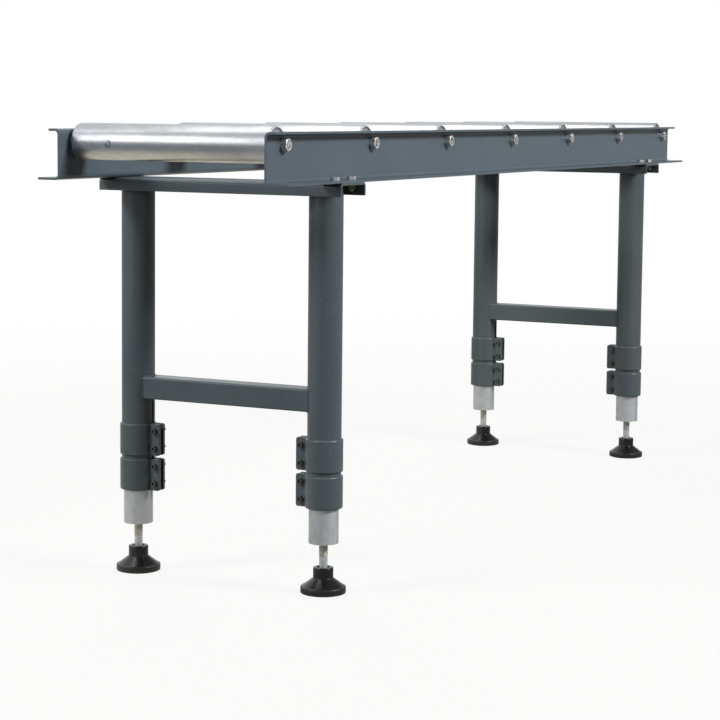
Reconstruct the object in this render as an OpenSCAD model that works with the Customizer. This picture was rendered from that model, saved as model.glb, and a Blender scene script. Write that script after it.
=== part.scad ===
// Roller stand for long stock: free-turning rollers between two bent-sheet rails, carried by
// four telescopic legs with levelling feet. Millimetres. X runs along the rails, Y across them
// and Z up from the floor. The origin is on the floor, under the middle of the stand.

/* [Rails] */
// Length of both rails
rail_len = 2000; // [1800:10:2400]
// Clear width between the webs of the two rails
rail_gap = 376; // [350:1:420]
// Height of each rail over its flanges
rail_h = 83; // [80:1:110]
// Sheet thickness of the rails and the cross members
sheet = 4; // [3:0.5:5]
// Inside radius of the rails' bends
rail_bend_r = 5; // [2:0.5:6]
// Inside radius of the cross members' bends
cross_bend_r = 3; // [1:0.5:3]
// Reach of a rail's top flange beyond its web
top_flange = 17; // [14:1:24]
// Reach of a rail's bottom flange beyond its web
bottom_flange = 38; // [36:1:50]

/* [Rollers] */
// Number of rollers
roller_count = 7; // [4:1:7]
// Outside diameter of a roller
roller_d = 60; // [50:1:66]
// Wall of a roller tube
roller_wall = 2; // [1.5:0.5:4]
// Height of the roller tops above the rails
roller_rise = 9.5; // [4:0.5:20]
// Gap between a roller's end and the web beside it
roller_end_gap = 8; // [6:0.5:12]
// Distance from the rail ends to the outermost roller axes
first_roller = 53; // [45:1:90]

/* [Axles and bearings] */
// Diameter of a fixed axle between the webs
axle_d = 15; // [14:0.5:18]
// Thread diameter at the ends of an axle
axle_thread_d = 12; // [8:1:13]
// Width over the flats of an axle nut
axle_nut_af = 19; // [19:0.5:22]
// Height of an axle nut
axle_nut_h = 10.8; // [8:0.1:14]
// Turn of an axle nut from a corner along the rail
axle_nut_turn = 15; // [0:1:59]
// Outside diameter of a ball bearing
bearing_d = 35; // [32:1:40]
// Width of a ball bearing
bearing_w = 11; // [9:0.5:14]

/* [Cross members] */
// Width of a cross member along the rails
cross_w = 90; // [88:1:110]
// Height of a cross member
cross_h = 22; // [18:1:30]
// Distance from a rail end to the middle of the cross member
cross_inset = 225; // [180:5:400]
// Thread diameter of the bolts that hold the rails
bolt_d = 8; // [6:1:8]
// Width over the flats of those bolts and their nuts
bolt_af = 13; // [12:1:14]
// Distance between the two bolts of a joint
bolt_spacing = 60; // [54:1:60]

/* [Legs] */
// Outside diameter of an outer leg tube
tube_d = 57; // [54:0.5:60]
// Wall of an outer leg tube
tube_wall = 3; // [2:0.25:3]
// Length of an outer leg tube
tube_len = 480; // [420:5:700]
// Distance from a cross member's end to the leg axis
leg_inset = 49.5; // [49:0.5:60]
// Outside diameter of an inner leg tube
inner_d = 50; // [46:0.5:50]
// Wall of an inner leg tube
inner_wall = 3; // [2:0.25:4]
// Length of an inner leg tube
inner_len = 430; // [380:5:450]
// Length of inner tube that shows below the stop collar
inner_show = 59; // [56:1:120]
// Height of a stretcher bar
stretcher_h = 38; // [30:1:50]
// Thickness of a stretcher bar along the rails
stretcher_d = 40; // [25:1:44]
// Wall of a stretcher bar
stretcher_wall = 2; // [1.5:0.25:3]
// Height of a stretcher bar's lower edge above the end of the outer tube
stretcher_up = 105; // [80:1:300]

/* [Clamp collars] */
// Outside diameter of a collar
clamp_d = 63; // [62:0.5:66]
// Height of a collar
clamp_h = 55; // [50:1:70]
// Gap between the two collars of a leg
clamp_gap = 6; // [3:0.5:10]
// Width of the slit that the screws close
clamp_slit = 8; // [5:0.5:9]
// Thickness of an ear beside the slit
ear_t = 5; // [4:0.5:6]
// Radius of the hollow bend between an ear and the ring
ear_bend_r = 4; // [2:0.5:5]
// Reach of the ears from the leg axis
ear_reach = 48; // [46:0.5:54]
// Thread diameter of a clamp screw
screw_d = 6; // [5:1:6]
// Distance between the two screws of a collar
screw_spacing = 30; // [24:1:34]

/* [Levelling feet] */
// Length of spindle that shows between foot and inner tube
spindle_show = 41; // [36:1:60]
// Diameter of a spindle's thread
thread_d = 15; // [14.5:0.5:16]
// Diameter of a spindle's plain shank
shank_d = 14; // [12:0.5:14]
// Length of the plain shank above the foot
shank_show = 18; // [14:1:24]
// Length of a spindle above its ball
spindle_len = 140; // [120:1:160]
// Diameter of the ball that the foot turns on
ball_d = 20; // [19.5:0.5:21]
// Height of the ball's centre above the floor
ball_up = 20; // [18:0.5:21]
// Height of the threaded plug in the inner tube
plug_h = 20; // [15:1:30]
// Diameter of a foot
foot_d = 76; // [70:1:90]
// Height of the foot's rim
rim_h = 11; // [10:0.5:13]
// Height of the foot's sloping shoulder
shoulder_h = 14; // [12:0.5:15]
// Height of the foot's neck
neck_h = 18; // [17:0.5:19]
// Diameter of the foot's neck
neck_d = 34; // [33:0.5:38]
// Angle that a foot tips to each side
foot_tip = 8; // [4:1:9]

/* [Fits] */
// Radial gap of a bearing on its axle
running_gap = 0.08; // [0.04:0.01:0.1]
// Radial gap of a clamped or pressed fit
press_gap = 0.05; // [0.03:0.01:0.1]
// Radial gap of the stop collar round the inner tube
collar_gap = 0.3; // [0.2:0.05:0.5]
// Radial gap of a spindle in its threaded plug
thread_gap = 0.2; // [0.15:0.05:0.4]
// Radial gap of a bolt in its hole
hole_gap = 0.5; // [0.3:0.1:1]
// Gap all round the ball and shank of a spindle in its foot
socket_gap = 0.3; // [0.2:0.05:0.4]

/* [Hidden] */
$fn = 96;
// What every cut runs past the face that it starts from
over = 1;
hex_sides = 6;

// Round fittings in the ends of the rollers
lip_t = 1.5;
lip_step = 0.5;
cup_wall = 2;
cup_dip = 5;
cup_depth = 20;
bearing_set_in = 7;
shield_dip = 0.8;
race_t = 4;
ring_w = 1.2;
ring_t = 1.5;
thread_past_nut = 0.6;

// Bolt heads, nuts with their washers, and the chamfer of their corners
bolt_washer_d = 15;
bolt_washer_t = 1.6;
bolt_head_h = 5.3;
bolt_nut_h = 6.5;
bolt_past_nut = 3;
chamfer_angle = 30;
screw_head_d = 10;
screw_head_h = 6;
screw_key_af = 5;
screw_key_dip = 3;
screw_nut_af = 10;
screw_nut_h = 5;
screw_past_nut = 8;
screw_clear = 0.5;

// Rounding of tube ends, collars, ears and feet
collar_round = 2.5;
ear_round = 4;
slit_land = 4;
bar_round = 3;
plug_round = 2;
rim_round = 2;
neck_round = 2;
pad_t = 3;
pad_proud = 1;
pad_inset = 4;

// Places along the rails and across them
half_len = rail_len / 2;
web_in = rail_gap / 2;
web_out = web_in + sheet;
half_cross = web_out + bottom_flange;
bolt_y = web_out + bottom_flange / 2;
leg_y = half_cross - leg_inset;
cross_x = half_len - cross_inset;
roller_pitch = (rail_len - 2 * first_roller) / (roller_count - 1);
roller_half = web_in - roller_end_gap;

// Heights above the floor, from the foot up to the rollers
foot_h = pad_proud + rim_h + shoulder_h + neck_h;
inner_z = foot_h + spindle_show;
stop_z = inner_z + inner_show;
tube_z = stop_z + clamp_h;
clamp_z = tube_z + clamp_gap;
cross_z = tube_z + tube_len - cross_h + sheet;
rail_z = cross_z + cross_h;
axle_z = rail_z + rail_h + roller_rise - roller_d / 2;

// Radii of round fittings
tube_r = tube_d / 2;
bore_r = tube_r - tube_wall;
inner_r = inner_d / 2;
inner_bore_r = inner_r - inner_wall;
ball_r = ball_d / 2;
cup_r = roller_d / 2 - roller_wall - press_gap;
half_grip = clamp_slit / 2 + ear_t;
bend_out = sqrt(pow(clamp_d / 2 + ear_bend_r, 2) - pow(half_grip + ear_bend_r, 2));
screw_y = bend_out + screw_head_d / 2 + screw_clear;

// Half the size of each corner of the stand, by its name: end of the rails, then side
ENDS = [["front", -1], ["rear", 1]];
SIDES = [["left", 1], ["right", -1]];
CORNERS = [for (e = ENDS) for (s = SIDES) [str(e[0], "_", s[0]), e[1], s[1]]];

// Helpers

// Quarter of a bend in the sheet, from +X round to +Y, about its own centre
module bend(inside_r) {
    intersection() {
        difference() {
            circle(r = inside_r + sheet);
            circle(r = inside_r);
        }
        square(inside_r + sheet + over);
    }
}

// Rectangle from the origin with its corners rounded
module round_plate(size, r) {
    for (x = [r, size[0] - r])
        for (y = [r, size[1] - r])
            translate([x, y]) circle(r = r);
    translate([r, 0]) square([size[0] - 2 * r, size[1]]);
    translate([0, r]) square([size[0], size[1] - 2 * r]);
}

// Hexagon prism with the corners of its far end turned off at a shallow angle
module hex_block(af, h) {
    corner_r = af / 2 / cos(30);
    drop = (corner_r - af / 2) * tan(chamfer_angle);
    intersection() {
        cylinder(r = corner_r, h = h, $fn = hex_sides);
        union() {
            cylinder(r = corner_r + over, h = h - drop);
            translate([0, 0, h - drop])
                cylinder(r1 = corner_r, r2 = af / 2, h = drop);
        }
    }
}

module washer(outer_d, hole_d, t) {
    difference() {
        cylinder(d = outer_d, h = t);
        translate([0, 0, -over]) cylinder(d = hole_d, h = t + 2 * over);
    }
}

module nut(af, h, hole_d) {
    difference() {
        hex_block(af, h);
        translate([0, 0, -over]) cylinder(d = hole_d, h = h + 2 * over);
    }
}

// Turns what stands on +Z to stand on the given side of Y
module facing_y(side) {
    rotate([side * -90, 0, 0]) children();
}

// Rails

// Section of the rail on the +Y side: web inwards, both flanges outwards, X across and Y up
module rail_section() {
    web_bend = rail_bend_r + sheet;
    translate([0, web_bend]) square([sheet, rail_h - 2 * web_bend]);
    translate([web_bend, 0]) square([sheet + bottom_flange - web_bend, sheet]);
    translate([web_bend, rail_h - sheet]) square([sheet + top_flange - web_bend, sheet]);
    translate([web_bend, web_bend]) rotate(180) bend(rail_bend_r);
    translate([web_bend, rail_h - web_bend]) rotate(90) bend(rail_bend_r);
}

module rail(side) {
    color([0.33, 0.38, 0.42])
    difference() {
        mirror([0, side > 0 ? 0 : 1, 0])
            translate([-half_len, web_in, rail_z])
                rotate([90, 0, 90])
                    linear_extrude(rail_len) rail_section();
        for (i = [1:roller_count])
            translate([roller_x(i), side * (web_in - over), axle_z])
                facing_y(side)
                    cylinder(r = axle_thread_d / 2 + hole_gap, h = sheet + 2 * over);
        bolt_places(side)
            translate([0, 0, rail_z - over])
                cylinder(r = bolt_d / 2 + hole_gap, h = sheet + 2 * over);
    }
}

// Both bolts of each joint on one side of the stand
module bolt_places(side) {
    for (e = ENDS)
        for (s = [-1, 1])
            translate([e[1] * cross_x + s * bolt_spacing / 2, side * bolt_y, 0]) children();
}

// Cross members and legs

// Channel that opens downwards, bent from one sheet
module cross_section() {
    top_bend = cross_bend_r + sheet;
    for (s = [0, 1])
        mirror([s, 0]) {
            translate([cross_w / 2 - sheet, 0]) square([sheet, cross_h - top_bend]);
            translate([cross_w / 2 - top_bend, cross_h - top_bend]) bend(cross_bend_r);
        }
    translate([top_bend - cross_w / 2, cross_h - sheet])
        square([cross_w - 2 * top_bend, sheet]);
}

module cross_member(end) {
    color([0.27, 0.30, 0.32])
    difference() {
        translate([end * cross_x, half_cross, cross_z])
            rotate([90, 0, 0])
                linear_extrude(2 * half_cross) cross_section();
        for (s = SIDES)
            bolt_places(s[1])
                translate([0, 0, rail_z - sheet - over])
                    cylinder(r = bolt_d / 2 + hole_gap, h = sheet + 2 * over);
    }
}

// Box section between the two legs of one end, coped to fit round their tubes
module stretcher(end) {
    color([0.27, 0.30, 0.31])
    translate([end * cross_x, 0, tube_z + stretcher_up])
    difference() {
        translate([-stretcher_d / 2, leg_y, 0])
            rotate([90, 0, 0])
                linear_extrude(2 * leg_y)
                    difference() {
                        round_plate([stretcher_d, stretcher_h], bar_round);
                        translate([stretcher_wall, stretcher_wall])
                            round_plate([stretcher_d - 2 * stretcher_wall,
                                         stretcher_h - 2 * stretcher_wall],
                                        bar_round - stretcher_wall);
                    }
        for (s = [-1, 1])
            translate([0, s * leg_y, -over])
                cylinder(r = tube_r + press_gap, h = stretcher_h + 2 * over);
    }
}

// Places a part at one corner, with its inner side turned towards the middle of the stand
module corner_place(corner) {
    translate([corner[1] * cross_x, corner[2] * leg_y, 0])
        mirror([0, corner[2] > 0 ? 0 : 1, 0])
            children();
}

// Tube whose end is slit so that the clamp can close it: the slit ends in a drilled hole
module outer_tube(corner) {
    slit_top = stretcher_up - slit_land - clamp_slit / 2;
    color([0.27, 0.30, 0.31])
    corner_place(corner)
    translate([0, 0, tube_z])
    difference() {
        cylinder(r = tube_r, h = tube_len);
        translate([0, 0, -over]) cylinder(r = bore_r, h = tube_len + 2 * over);
        translate([-clamp_slit / 2, -tube_r - over, -over])
            cube([clamp_slit, tube_r, slit_top + over]);
        translate([0, 0, slit_top])
            rotate([90, 0, 0])
                cylinder(d = clamp_slit, h = tube_r + over);
    }
}

// Collar with a slit and two ears, drawn on the +Y side with its ears towards the middle
module collar(hole_r) {
    difference() {
        union() {
            rotate_extrude()
                difference() {
                    translate([-clamp_d / 2, 0]) round_plate([clamp_d, clamp_h], collar_round);
                    translate([-clamp_d, -over]) square([clamp_d, clamp_h + 2 * over]);
                }
            for (s = [0, 1])
                mirror([s, 0, 0]) {
                    translate([clamp_slit / 2, 0, 0])
                        rotate([90, 0, 90])
                            linear_extrude(ear_t)
                                ear_outline();
                    translate([0, 0, collar_round])
                        linear_extrude(clamp_h - 2 * collar_round) ear_bend();
                }
        }
        translate([0, 0, -over]) cylinder(r = hole_r, h = clamp_h + 2 * over);
        translate([-clamp_slit / 2, -ear_reach - over, -over])
            cube([clamp_slit, ear_reach + over, clamp_h + 2 * over]);
        screw_places()
            translate([0, 0, -clamp_d / 2])
                cylinder(r = screw_d / 2 + hole_gap, h = clamp_d);
    }
}

// Ear seen from its side: its outer corners are rounded
module ear_outline() {
    translate([-ear_reach, 0]) round_plate([ear_reach, clamp_h], ear_round);
}

// Hollow bend that runs from an ear's outer face into the ring, seen from above
module ear_bend() {
    bend_x = half_grip + ear_bend_r;
    ring_share = clamp_d / (clamp_d + 2 * ear_bend_r);
    difference() {
        polygon([[clamp_slit / 2, -bend_out], [bend_x, -bend_out],
                 [bend_x * ring_share, -bend_out * ring_share],
                 [clamp_slit / 2, -bend_out * ring_share]]);
        translate([bend_x, -bend_out]) circle(r = ear_bend_r);
    }
}

// Both screws of a collar, with +Z along the screw towards its head on the -X side
module screw_places() {
    for (s = [-1, 1])
        translate([0, -screw_y, clamp_h / 2 + s * screw_spacing / 2])
            rotate([0, -90, 0])
                children();
}

module tube_clamp(corner) {
    color([0.26, 0.29, 0.30])
    corner_place(corner)
    translate([0, 0, clamp_z])
    collar(tube_r + press_gap);
}

module stop_collar(corner) {
    color([0.26, 0.29, 0.30])
    corner_place(corner)
    translate([0, 0, stop_z])
    collar(inner_r + collar_gap);
}

module inner_tube(corner) {
    color([0.62, 0.64, 0.64])
    corner_place(corner)
    translate([0, 0, inner_z])
    difference() {
        cylinder(r = inner_r, h = inner_len);
        translate([0, 0, -over]) cylinder(r = inner_bore_r, h = inner_len + 2 * over);
    }
}

// Plug that closes the inner tube and carries the spindle's thread
module tube_plug(corner) {
    color([0.60, 0.61, 0.60])
    corner_place(corner)
    translate([0, 0, inner_z])
    difference() {
        cylinder(r = inner_bore_r - press_gap, h = plug_h);
        translate([0, 0, -over])
            cylinder(r = thread_d / 2 + thread_gap, h = plug_h + 2 * over);
        translate([0, 0, plug_h - plug_round])
            cylinder(r1 = thread_d / 2 + thread_gap,
                     r2 = thread_d / 2 + thread_gap + plug_round + over,
                     h = plug_round + over);
    }
}

// Levelling feet

// Threaded spindle with a plain shank below it, on a ball
module spindle(corner) {
    shank_top = foot_h + shank_show;
    chamfer = thread_d / 10;
    color([0.68, 0.68, 0.66])
    corner_place(corner)
    union() {
        translate([0, 0, ball_up]) sphere(r = ball_r);
        translate([0, 0, ball_up]) cylinder(d = shank_d, h = shank_top - ball_up);
        translate([0, 0, shank_top - over])
            cylinder(d = thread_d, h = ball_up + spindle_len - chamfer - shank_top + over);
        translate([0, 0, ball_up + spindle_len - chamfer])
            cylinder(r1 = thread_d / 2, r2 = thread_d / 2 - chamfer, h = chamfer);
    }
}

// Outline of the foot from its axis: rim, sloping shoulder and neck with rounded edges
module foot_profile() {
    body_h = foot_h - pad_proud;
    foot_r = foot_d / 2;
    neck_r = neck_d / 2;
    difference() {
        union() {
            translate([-foot_r, 0]) round_plate([foot_d, rim_h], rim_round);
            polygon([[0, rim_h - rim_round], [foot_r - rim_round, rim_h - rim_round],
                     [foot_r - rim_round, rim_h], [neck_r, rim_h + shoulder_h],
                     [0, rim_h + shoulder_h]]);
            translate([-neck_r, rim_h]) round_plate([neck_d, body_h - rim_h], neck_round);
        }
        translate([-foot_d, -over]) square([foot_d, body_h + 2 * over]);
        translate([-over, -over])
            square([foot_r - pad_inset + over, pad_t - pad_proud + over]);
    }
}

// Foot with a ball socket, a mouth that lets it tip, and a rubber pad under it
module foot(corner) {
    shank_r = shank_d / 2 + socket_gap;
    mouth_h = foot_h - ball_up + over;
    mouth_r = shank_r / cos(foot_tip) + mouth_h * tan(foot_tip);
    corner_place(corner) {
        color([0.09, 0.09, 0.09])
        difference() {
            translate([0, 0, pad_proud]) rotate_extrude() foot_profile();
            translate([0, 0, ball_up]) sphere(r = ball_r + socket_gap);
            translate([0, 0, ball_up])
                cylinder(r1 = shank_r / cos(foot_tip), r2 = mouth_r, h = mouth_h);
        }
        color([0.05, 0.05, 0.05])
            cylinder(r = foot_d / 2 - pad_inset - press_gap, h = pad_t);
    }
}

// Rollers

function roller_x(i) = -half_len + first_roller + (i - 1) * roller_pitch;

module roller(i) {
    color([0.72, 0.73, 0.72])
    translate([roller_x(i), -roller_half, axle_z])
    facing_y(1)
    difference() {
        cylinder(d = roller_d, h = 2 * roller_half);
        translate([0, 0, -over])
            cylinder(r = roller_d / 2 - roller_wall, h = 2 * (roller_half + over));
    }
}

// Half section of the pressed cup, radius across and depth up: seat for the bearing with a stop
// behind it, dished face, wall, and a rounded lip on the end of the tube
module cup_profile() {
    seat_r = bearing_d / 2 + press_gap;
    wall_r = cup_r - cup_wall;
    lip_r = roller_d / 2 - lip_step;
    bearing_back = bearing_set_in + bearing_w;
    translate([seat_r, cup_dip]) square([cup_wall, bearing_back - cup_dip + cup_wall]);
    translate([seat_r - race_t / 2, bearing_back]) square([race_t / 2 + cup_wall, cup_wall]);
    translate([seat_r, cup_dip]) square([cup_r - seat_r, cup_wall]);
    translate([wall_r, 0]) square([cup_wall, cup_depth]);
    intersection() {
        union() {
            translate([wall_r + lip_t, -lip_t]) square([lip_r - wall_r - 2 * lip_t, lip_t]);
            for (r = [wall_r + lip_t, lip_r - lip_t])
                translate([r, 0]) circle(r = lip_t);
        }
        translate([wall_r, -lip_t]) square([lip_r - wall_r, lip_t]);
    }
}

// Sealed ball bearing: two races with a shield set back between them
module bearing_profile() {
    hole_r = axle_d / 2 + running_gap;
    difference() {
        translate([hole_r, 0]) square([bearing_d / 2 - hole_r, bearing_w]);
        for (z = [-over, bearing_w - shield_dip])
            translate([hole_r + race_t, z])
                square([bearing_d / 2 - hole_r - 2 * race_t, shield_dip + over]);
    }
}

// Cup and bearing in each end of a roller
module bearing_set(i) {
    for (side = [-1, 1])
        translate([roller_x(i), side * roller_half, axle_z])
            facing_y(-side) {
                color([0.66, 0.67, 0.67]) rotate_extrude() cup_profile();
                color([0.50, 0.51, 0.52])
                    translate([0, 0, bearing_set_in])
                        rotate_extrude() bearing_profile();
            }
}

// Fixed axle with a shoulder against each web, threaded ends and a snap ring by each bearing
module axle(i) {
    thread_out = web_out + axle_nut_h + thread_past_nut;
    ring_out = roller_half - bearing_set_in;
    color([0.70, 0.70, 0.68])
    translate([roller_x(i), 0, axle_z])
    facing_y(1)
    union() {
        translate([0, 0, -web_in]) cylinder(d = axle_d, h = 2 * web_in);
        translate([0, 0, -thread_out]) cylinder(d = axle_thread_d, h = 2 * thread_out);
        for (s = [0, 1])
            mirror([0, 0, s])
                translate([0, 0, ring_out + running_gap])
                    cylinder(r = axle_d / 2 + ring_t, h = ring_w);
    }
}

// Fasteners

module axle_nuts() {
    hole_d = axle_thread_d + 2 * press_gap;
    color([0.80, 0.81, 0.80])
    for (i = [1:roller_count])
        for (side = [-1, 1])
            translate([roller_x(i), side * web_out, axle_z])
                facing_y(side)
                    rotate(axle_nut_turn)
                        nut(axle_nut_af, axle_nut_h, hole_d);
}

// Bolts with their heads on the rails' bottom flanges
module frame_bolts() {
    shank = 2 * sheet + bolt_washer_t + bolt_nut_h + bolt_past_nut;
    color([0.80, 0.81, 0.80])
    for (s = SIDES)
        bolt_places(s[1])
            translate([0, 0, rail_z + sheet]) {
                hex_block(bolt_af, bolt_head_h);
                translate([0, 0, -shank]) cylinder(d = bolt_d, h = shank + over);
            }
}

module frame_nuts() {
    hole_d = bolt_d + 2 * press_gap;
    color([0.80, 0.81, 0.80])
    for (s = SIDES)
        bolt_places(s[1])
            translate([0, 0, rail_z - sheet])
                mirror([0, 0, 1]) {
                    washer(bolt_washer_d, hole_d, bolt_washer_t);
                    translate([0, 0, bolt_washer_t]) nut(bolt_af, bolt_nut_h, hole_d);
                }
}

// Both collars of every leg
module collar_places() {
    for (c = CORNERS)
        corner_place(c)
            for (z = [stop_z, clamp_z])
                translate([0, 0, z])
                    screw_places()
                        children();
}

module clamp_screws() {
    tail = half_grip + screw_nut_h + screw_past_nut;
    color([0.07, 0.07, 0.07])
    collar_places()
        difference() {
            union() {
                translate([0, 0, -tail]) cylinder(d = screw_d, h = tail + half_grip + over);
                translate([0, 0, half_grip]) cylinder(d = screw_head_d, h = screw_head_h);
            }
            translate([0, 0, half_grip + screw_head_h - screw_key_dip])
                cylinder(r = screw_key_af / 2 / cos(30), h = screw_key_dip + over,
                         $fn = hex_sides);
        }
}

module clamp_nuts() {
    color([0.08, 0.08, 0.08])
    collar_places()
        translate([0, 0, -half_grip])
            mirror([0, 0, 1])
                nut(screw_nut_af, screw_nut_h, screw_d + 2 * press_gap);
}

// The stand

for (s = SIDES)
    rail(s[1]);
for (e = ENDS) {
    cross_member(e[1]);
    stretcher(e[1]);
}
for (c = CORNERS) {
    outer_tube(c);
    tube_clamp(c);
    stop_collar(c);
    inner_tube(c);
    tube_plug(c);
    spindle(c);
    foot(c);
}
for (i = [1:roller_count]) {
    roller(i);
    bearing_set(i);
    axle(i);
}
axle_nuts();
frame_bolts();
frame_nuts();
clamp_screws();
clamp_nuts();
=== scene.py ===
import math

import bmesh
import bpy
import numpy as np
from mathutils import Matrix, Vector


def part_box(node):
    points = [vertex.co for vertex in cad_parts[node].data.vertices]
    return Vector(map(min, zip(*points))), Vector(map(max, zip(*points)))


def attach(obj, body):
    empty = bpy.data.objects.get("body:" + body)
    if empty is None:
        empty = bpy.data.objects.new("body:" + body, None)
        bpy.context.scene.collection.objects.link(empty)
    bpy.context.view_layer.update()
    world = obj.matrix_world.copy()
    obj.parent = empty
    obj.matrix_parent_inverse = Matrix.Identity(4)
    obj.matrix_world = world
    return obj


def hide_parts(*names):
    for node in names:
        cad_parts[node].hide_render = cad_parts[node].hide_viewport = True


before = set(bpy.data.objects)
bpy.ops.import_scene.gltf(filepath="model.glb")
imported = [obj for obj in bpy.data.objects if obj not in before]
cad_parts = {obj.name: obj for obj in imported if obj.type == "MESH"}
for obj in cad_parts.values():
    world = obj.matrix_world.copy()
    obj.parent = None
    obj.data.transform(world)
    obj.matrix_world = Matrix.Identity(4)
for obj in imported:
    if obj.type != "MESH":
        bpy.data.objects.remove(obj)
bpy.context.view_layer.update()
print("frame loaded:", len(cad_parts), "nodes")

mm = 0.001  # sizes below are written in millimetres and multiplied by this

ends = {"front": -1, "rear": 1}  # along X
sides = {"left": 1, "right": -1}  # along Y
corners = [f"{e}_{s}" for e in ends for s in sides]
rollerNumbers = range(1, 8)


def boxOf(node):
    low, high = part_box(node)
    return np.array(low), np.array(high)


def middleOf(node):
    low, high = boxOf(node)
    return (low + high) / 2


# Solved from edges measured in the 720 x 720 photograph: place in metres, angles in radians,
# focal length and principal point in pixels.
cameraView = {
    "place": (-3.7755, -1.7117, 0.8036),
    "yaw": 0.455,  # from +X towards +Y
    "pitch": 0.097,  # downwards
    "roll": -0.010,
    "focalPx": 2060.2,
    "centrePx": (360.0, 308.6),
    "framePx": 720.0,
    "sensorMm": 36.0,
    "farthest": 100.0,  # metres
}


def makeCamera(v):
    # The rows of a pinhole camera: forward from yaw and pitch, right level with the floor and
    # down square to both, then right and down turned together by the roll.
    cosPitch = math.cos(v["pitch"])
    forward = Vector((math.cos(v["yaw"]) * cosPitch, math.sin(v["yaw"]) * cosPitch,
                      -math.sin(v["pitch"])))
    level = Vector((math.sin(v["yaw"]), -math.cos(v["yaw"]), 0))
    drop = forward.cross(level)
    right = level * math.cos(v["roll"]) + drop * math.sin(v["roll"])
    down = drop * math.cos(v["roll"]) - level * math.sin(v["roll"])
    data = bpy.data.cameras.new("camera")
    data.sensor_width = v["sensorMm"]
    data.lens = v["focalPx"] * v["sensorMm"] / v["framePx"]
    data.shift_x = (v["framePx"] / 2 - v["centrePx"][0]) / v["framePx"]
    data.shift_y = (v["centrePx"][1] - v["framePx"] / 2) / v["framePx"]
    data.clip_end = v["farthest"]
    cam = bpy.data.objects.new("camera", data)
    bpy.context.scene.collection.objects.link(cam)
    cam.matrix_world = Matrix.Translation(v["place"]) @ Matrix(
        (right, -down, -forward)).transposed().to_4x4()
    bpy.context.scene.camera = cam


makeCamera(cameraView)
bpy.context.scene.view_settings.view_transform = "Standard"
print("camera placed")


# In shader trees below, a value is a pair (node, output) and a span is a pair (from, to).
noiseSpan = (0.3, 0.7)  # nearly all of a noise lies between these
fullSpan = (0.0, 1.0)
bevelSamples = 4
metal = {"Metallic": 1.0}
plastic = {"Metallic": 0.0, "IOR": 1.5}  # also paint and rubber


def linear(hexColor):
    # sRGB to linear light: c/12.92 in the toe, ((c + 0.055) / 1.055) to the power 2.4 above it.
    parts = [int(hexColor[i:i + 2], 16) / 255 for i in (1, 3, 5)]
    return [c / 12.92 if c <= 0.04045 else ((c + 0.055) / 1.055) ** 2.4 for c in parts] + [1.0]


def addNode(tree, kind, settings=None, inputs=None, links=None):
    # One shader node: attributes, fixed socket values, and links from values to sockets.
    node = tree.nodes.new(kind)
    for name, value in (settings or {}).items():
        setattr(node, name, value)
    for name, value in (inputs or {}).items():
        node.inputs[name].default_value = value
    for name, (source, output) in (links or {}).items():
        tree.links.new(source.outputs[output], node.inputs[name])
    return node


def newMaterial(name):
    material = bpy.data.materials.new(name)
    material.use_nodes = True
    tree = material.node_tree
    tree.nodes.clear()
    return material, tree, addNode(tree, "ShaderNodeTexCoord")


def split(tree, place, output="Object"):
    return addNode(tree, "ShaderNodeSeparateXYZ", links={"Vector": (place, output)})


def pattern(tree, place, size, stretch=(1, 1, 1), **inputs):
    # Noise whose grains are size metres across, drawn out along each axis by stretch.
    scaled = addNode(tree, "ShaderNodeMapping",
                     inputs={"Scale": tuple(1 / (size * s) for s in stretch)},
                     links={"Vector": (place, "Object")})
    return addNode(tree, "ShaderNodeTexNoise", inputs={"Scale": 1.0, **inputs},
                   links={"Vector": (scaled, 0)}), "Fac"


def cellTones(tree, place, size, stretch):
    # One random tone for each crystal, size metres across and drawn out by stretch.
    scaled = addNode(tree, "ShaderNodeMapping",
                     inputs={"Scale": tuple(1 / (size * s) for s in stretch)},
                     links={"Vector": (place, "Object")})
    cells = addNode(tree, "ShaderNodeTexVoronoi", inputs={"Scale": 1.0},
                    links={"Vector": (scaled, 0)})
    return addNode(tree, "ShaderNodeSeparateColor", links={"Color": (cells, "Color")}), 0


def ramp(tree, value, span, out=fullSpan):
    # An eased step from one end of out to the other, while the value passes through the span.
    return addNode(tree, "ShaderNodeMapRange", {"interpolation_type": "SMOOTHSTEP"},
                   {"From Min": span[0], "From Max": span[1], "To Min": out[0], "To Max": out[1]},
                   {"Value": value}), 0


def times(tree, first, second):
    return addNode(tree, "ShaderNodeMath", {"operation": "MULTIPLY"},
                   links={0: first, 1: second}), 0


def mixColor(tree, factor, first, second):
    # first and second are hex colours or values.
    inputs, links = {}, {0: factor}
    for socket, value in ((6, first), (7, second)):  # A and B of a mix of colours
        if isinstance(value, str):
            inputs[socket] = linear(value)
        else:
            links[socket] = value
    return addNode(tree, "ShaderNodeMix", {"data_type": "RGBA"}, inputs, links), 2


def roughFrom(tree, value, span, look):
    # Roughness that follows a pattern, from smoother to rougher than the look's own.
    return ramp(tree, value, span, (look["roughness"] - look["smoother"],
                                    look["roughness"] + look["rougher"]))


def finishMaterial(material, tree, color, roughness, relief, depth, kind, edge=0.0):
    # roughness is a value or one number, relief a value that is depth metres high, kind the
    # metallic share and IOR, and edge the radius of the softened edges in metres.
    under = {}
    if edge:
        soft = addNode(tree, "ShaderNodeBevel", {"samples": bevelSamples}, {"Radius": edge})
        under = {"Normal": (soft, 0)}
    bump = addNode(tree, "ShaderNodeBump", inputs={"Strength": 1.0, "Distance": depth},
                   links={"Height": relief, **under})
    inputs, links = dict(kind), {"Base Color": color, "Normal": (bump, 0)}
    if isinstance(roughness, tuple):
        links["Roughness"] = roughness
    else:
        inputs["Roughness"] = roughness
    shader = addNode(tree, "ShaderNodeBsdfPrincipled", inputs=inputs, links=links)
    addNode(tree, "ShaderNodeOutputMaterial", links={"Surface": (shader, 0)})
    return material


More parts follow.
